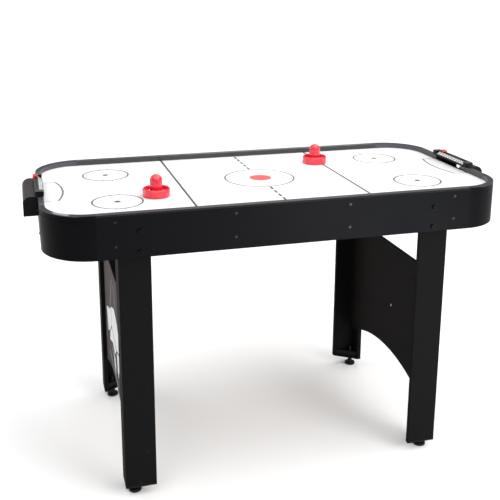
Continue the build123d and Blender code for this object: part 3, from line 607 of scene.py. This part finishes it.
def on_field():
    return Print((0, 0, FIELD_TOP), (1, 0, 0), (0, 1, 0), (0, 0, 1))


def crease_arc(side_x, radius, narrow=1.0):
    """The arc of one end's crease, at a radius from its own middle."""
    swing = math.asin(CREASE_HALF / CREASE_RADIUS)
    focus = (CREASE_NEAR + CREASE_RADIUS * math.cos(swing), 0)
    swing = math.degrees(swing)
    points = arc(focus, radius, 180 - swing, 180 + swing, CREASE_STEPS)
    return [(side_x * x, y * narrow) for x, y in points]


lines, dashes, creases, tint, spot = (on_field() for _ in range(5))
for side_x in (-1, 1):
    zone_x = side_x * ZONE_LINE_X
    lines.line((zone_x, -half_play_y), (zone_x, half_play_y), ZONE_LINE_WIDE)
    for side_y in (-1, 1):
        middle = Vector((side_x * FACE_OFF[0], side_y * FACE_OFF[1]))
        lines.ring(middle, FACE_OFF_RADIUS, FACE_OFF_WIDE)
        lines.disc(middle, FACE_OFF_DOT)
        for way in (-90, 90):
            for lean in TICK_LEANS:
                angle = math.radians(way + lean)
                reach = Vector((math.cos(angle), math.sin(angle)))
                lines.line(middle + reach * TICK_FROM, middle + reach * TICK_TO, TICK_WIDE)
    wall_x = side_x * half_play_x
    edges = (CREASE_RADIUS - CREASE_ARC_WIDE, CREASE_RADIUS)
    creases.band(*(crease_arc(side_x, radius) for radius in edges), False)
    for side_y in (-1, 1):
        y = side_y * CREASE_SIDE_Y
        start = (side_x * (CREASE_NEAR + CREASE_OVERLAP), y)
        creases.line(start, (wall_x, y), CREASE_SIDE_WIDE)
    inside = crease_arc(side_x, CREASE_RADIUS - TINT_INSET, TINT_NARROW)
    tint.slab(inside + [(wall_x, inside[-1][1]), (wall_x, inside[0][1])])
for side_y in (-1, 1):
    for i in range(DASH_COUNT):
        start = DASH_START + DASH_PITCH * i
        dashes.line((0, side_y * start), (0, side_y * (start + DASH_LONG)), DASH_WIDE)
lines.ring((0, 0), CENTRE_RADIUS, CENTRE_WIDE, 128)
spot.disc((SPOT_SHIFT, 0), SPOT_RADIUS, 72)
for name, drawing, look in (
    ("field_lines", lines, line_ink),
    ("centre_dashes", dashes, dash_ink),
    ("crease_lines", creases, crease_ink),
    ("crease_tint", tint, crease_tint),
    ("centre_spot", spot, spot_ink),
):
    piece(name, drawing.bm, "table", look)

# Splintered shapes and thin lines, printed on the outer face of each end panel. Each point
# is (y, z) in millimetres.
SHARDS = [
    [(175, 338), (143, 351), (86, 366), (40, 392), (52, 330), (97, 295), (143, 274)],
    [(36, 394), (-27, 412), (-90, 394), (-133, 356), (-118, 318), (-60, 306), (48, 328)],
    [(93, 292), (50, 324), (-56, 300), (-14, 270), (31, 286), (105, 262)],
    [(-62, 298), (-116, 314), (-109, 262), (-84, 232)],
    [(14, 262), (-24, 262), (-30, 214), (2, 232)],
]
SCRATCHES = [
    ((14, 483), (77, 376)),
    ((-26, 484), (-55, 428)),
    ((122, 219), (-78, 201)),
    ((58, 259), (-101, 243)),
    ((168, 300), (205, 226)),
    ((-150, 350), (-196, 428)),
]
SCRATCH_WIDE = 3.2


def on_panel(side):
    return Print((side * PANEL_OUT, 0, 0), (0, 1, 0), (0, 0, 1), (side, 0, 0))


for label, side in ENDS:
    art, strokes = on_panel(side), on_panel(side)
    for shard in SHARDS:
        art.slab(shard)
    for start, end in SCRATCHES:
        strokes.line(start, end, SCRATCH_WIDE)
    piece(f"{label}_panel_shards", art.bm, "table", panel_white)
    piece(f"{label}_panel_scratches", strokes.bm, "table", panel_grey)


# ---------------------------------------------------------------- panel fixings
# A small washer and stud stand on the inner face of each end panel. Each profile is of
# (radius, height) points in millimetres, with both ends on the axis.
FIXING_Y, FIXING_Z = -33 * MM, 335 * MM
WASHER = [(0, 0), (6.5, 0), (6.5, 0.6), (6, 0.9), (0, 0.9)]
STUD = [(0, 0.92), (3, 0.92), (3, 1.8), (2.2, 2.6), (1, 2.9), (0, 2.95)]
TURNED_STEPS = 32


def turned(profile, origin, axis):
    """A closed piece, turned about an axis."""
    bm = bmesh.new()
    out = Vector(axis)
    first = out.orthogonal().normalized()
    second = out.cross(first)
    rows = []
    for radius, height in profile:
        middle = Vector(origin) + out * height * MM
        if radius == 0:
            rows.append([bm.verts.new(middle)])
            continue
        turns = [TURN * i / TURNED_STEPS for i in range(TURNED_STEPS)]
        spokes = [first * math.cos(t) + second * math.sin(t) for t in turns]
        rows.append([bm.verts.new(middle + spoke * radius * MM) for spoke in spokes])
    for low, high in zip(rows, rows[1:]):
        for i in range(TURNED_STEPS):
            j = (i + 1) % TURNED_STEPS
            low_pair = [low[i % len(low)], low[j % len(low)]]
            high_pair = [high[j % len(high)], high[i % len(high)]]
            bm.faces.new(list(dict.fromkeys(low_pair + high_pair)))
    return bm


for label, side in ENDS:
    place, axis = (side * PANEL_IN, FIXING_Y, FIXING_Z), (-side, 0, 0)
    for part, profile, slot in (("washer", WASHER, "black_steel"), ("stud", STUD, "zinc_steel")):
        shape = turned(profile, place, axis)
        piece(f"{label}_panel_{part}", shape, "table", materials[slot])

# ---------------------------------------------------------------- scales
# A scale is a dark strip with a raised white tile for each number, in millimetres.
STRIP = (151.4, 12, 0.75)
STRIP_THICK = 0.8               # the CAD strip's thickness
STRIP_RISE = (12, 8)            # how far the sloping face goes out and up
TILE_PITCH = 13.7
TILE_WIDE = 9.6
TILE_HIGH = 10.6
TILE_RAISE = 0.25
TILE_SUNK = 0.1
DIGIT_LIFT = 0.15
DIGIT_SIZE = 9.8
DIGIT_HALF_THICK = 0.06
NARROW_DIGITS = 0.72            # two digits side by side are squeezed to this
NUMBERS = 11


def add_box(bm, place, size, ease=0.25):
    """A box with eased edges, its bottom in the middle of place. Sizes are in millimetres."""
    made = bmesh.ops.create_cube(bm, size=1)
    lift = Matrix.Translation((0, 0, 0.5))
    sized = Matrix.Diagonal((size[0] * MM, size[1] * MM, size[2] * MM, 1))
    bmesh.ops.transform(bm, matrix=place @ sized @ lift, verts=made["verts"])
    edges = list({edge for vert in made["verts"] for edge in vert.link_edges})
    bmesh.ops.bevel(bm, geom=edges, offset=ease * MM, segments=2, profile=0.5, affect="EDGES")


def add_digits(bm, place, text):
    """Raised figures, their middle at place."""
    curve = bpy.data.curves.new("figure", "FONT")
    curve.body = text
    curve.size = DIGIT_SIZE * MM
    curve.align_x = "CENTER"
    curve.align_y = "CENTER"
    curve.extrude = DIGIT_HALF_THICK * MM
    curve.resolution_u = 3
    carrier = placed("figure", curve)
    bpy.context.view_layer.update()
    shown = carrier.evaluated_get(bpy.context.evaluated_depsgraph_get())
    mesh = bpy.data.meshes.new_from_object(shown)
    bpy.data.objects.remove(carrier)
    bpy.data.curves.remove(curve)
    narrow = NARROW_DIGITS if len(text) > 1 else 1
    mesh.transform(place @ Matrix.Diagonal((narrow, 1, 1, 1)))
    bm.from_mesh(mesh)
    bpy.data.meshes.remove(mesh)


def scale_place(low, high, side):
    """The scale's outer face: X to the reader's right, Y up the slope, Z outwards."""
    outward, upward = STRIP_RISE
    rise = Vector((side * outward, 0, upward)).normalized()
    out = Vector((side * -upward, 0, outward)).normalized()
    middle = (low + high) / 2 + out * STRIP_THICK * MM / 2
    right = rise.cross(out)
    return Matrix.Translation(middle) @ Matrix((right, rise, out)).transposed().to_4x4()


def lifted(x, z):
    """A step in a scale's face, in millimetres."""
    return Matrix.Translation((x * MM, 0, z * MM))


for label, side in ENDS:
    low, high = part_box(f"{label}_scale")
    face = scale_place(low, high, side)
    strip, tiles, figures = bmesh.new(), bmesh.new(), bmesh.new()
    add_box(strip, face @ lifted(0, -STRIP_THICK), STRIP)
    for number in range(NUMBERS):
        place = face @ lifted((number - NUMBERS // 2) * TILE_PITCH, -TILE_SUNK)
        add_box(tiles, place, (TILE_WIDE, TILE_HIGH, TILE_RAISE + TILE_SUNK), 0.1)
        add_digits(figures, place @ lifted(0, TILE_RAISE + DIGIT_LIFT), str(number))
    bmesh.ops.remove_doubles(figures, verts=figures.verts, dist=0.001 * MM)
    for part, bm, look, slot in (
        ("strip", strip, materials["scorer_moulding"], "scorer_moulding"),
        ("tiles", tiles, materials["scale_white"], "scale_white"),
        ("figures", figures, digit_ink, "scale_white"),
    ):
        made = piece(f"{label}_scale_{part}", bm, "table", look)
        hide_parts(f"{label}_scale")

# ---------------------------------------------------------------- stage, lights and camera
FLOOR_REACH = 60
SKY = 0.32                      # the studio ceiling is dimmer than the bright band at the horizon
HORIZON_END, SKY_START = 0.04, 0.10     # how high, as the Z of a direction, the band fades
COOL = (0.88, 0.93, 1.0)
WHITE = (1, 1, 1)
# Each softbox: its name, place and aim, width and height in metres, watts, colour, and
# whether gloss shows it.
SOFTBOXES = (
    ("floor_wash", (2.1, -3.0, 1.9), (2.0, -2.9, 0), (1.8, 1.8), 90, WHITE, False),
    ("overhead_box", (0.65, 0.15, 2.4), (0.1, 0, 0.77), (0.45, 0.45), 6, WHITE, True),
    ("low_right", (0.90, -1.9, 0.28), (0.2, -0.3, 0.7), (0.9, 0.5), 18.5, COOL, True),
    ("rim_sheen", (-0.485, 1.75, 1.37), (-0.56, -0.26, 0.766), (0.075, 0.3), 0.26, COOL, True),
    ("rear_sheen", (0.8, 2.5, 1.22), (0.15, 0.3, 0.766), (1.2, 0.16), 1.4, WHITE, True),
    ("left_back", (-3.0, 1.6, 2.2), (0, 0, 0.7), (2.0, 1.6), 14, WHITE, True),
)


def stage():
    """A wide pale floor."""
    floor = bpy.data.meshes.new("floor")
    sides = ((-1, -1), (1, -1), (1, 1), (-1, 1))
    corners = [(x * FLOOR_REACH, y * FLOOR_REACH, 0) for x, y in sides]
    floor.from_pydata(corners, [], [(0, 1, 2, 3)])
    look = Look("floor_paint", roughness=0.9, Specular_IOR_Level=0.1)
    floor.materials.append(look.done(look.mix(look.noise(0.7, 2), grey(0.93), grey(0.95))))
    placed("floor", floor)


def studio():
    """White light from all round, brightest low down."""
    world = bpy.data.worlds.new("studio")
    bpy.context.scene.world = world
    world.use_nodes = True
    nodes, links = world.node_tree.nodes, world.node_tree.links
    sky = nodes.new("ShaderNodeTexCoord")
    split = nodes.new("ShaderNodeSeparateXYZ")
    fade = nodes.new("ShaderNodeMapRange")
    for key, value in ((1, HORIZON_END), (2, SKY_START), (3, 1.0), (4, SKY)):
        fade.inputs[key].default_value = value
    links.new(sky.outputs["Generated"], split.inputs[0])
    links.new(split.outputs["Z"], fade.inputs["Value"])
    links.new(fade.outputs[0], nodes["Background"].inputs["Strength"])
    nodes["Background"].inputs["Color"].default_value = (1, 1, 1, 1)


def overhead_sun():
    """A very broad soft light from above."""
    light = bpy.data.lights.new("overhead_sun", "SUN")
    light.energy = 3.15
    light.angle = math.radians(105)
    lamp = placed("overhead_sun", light)
    lamp.rotation_euler = (math.radians(14), math.radians(10), 0)


def softbox(name, place, aim, size, watts, colour, in_gloss):
    """A rectangular lamp that the camera doesn't see."""
    light = bpy.data.lights.new(name, "AREA")
    light.shape = "RECTANGLE"
    light.size, light.size_y = size
    light.energy = watts
    light.color = colour
    lamp = placed(name, light)
    lamp.location = place
    lamp.rotation_euler = (Vector(aim) - Vector(place)).to_track_quat("-Z", "Y").to_euler()
    lamp.visible_camera = False
    lamp.visible_glossy = in_gloss


def camera():
    """The photo's camera, solved from the straight edges of the rim, aprons and legs."""
    data = bpy.data.cameras.new("camera")
    data.sensor_width = 36
    data.lens = 57.28
    data.shift_x = 0.0337
    data.shift_y = -0.1603
    data.clip_end = 200
    data.dof.use_dof = False
    obj = placed("camera", data)
    obj.location = (-0.6324, -2.081, 1.3058)
    obj.rotation_euler = (math.radians(90 - 13.73), 0, math.radians(-14.96))
    bpy.context.scene.camera = obj


stage()
studio()
overhead_sun()
for row in SOFTBOXES:
    softbox(*row)
camera()
bpy.context.scene.view_settings.view_transform = "Standard"
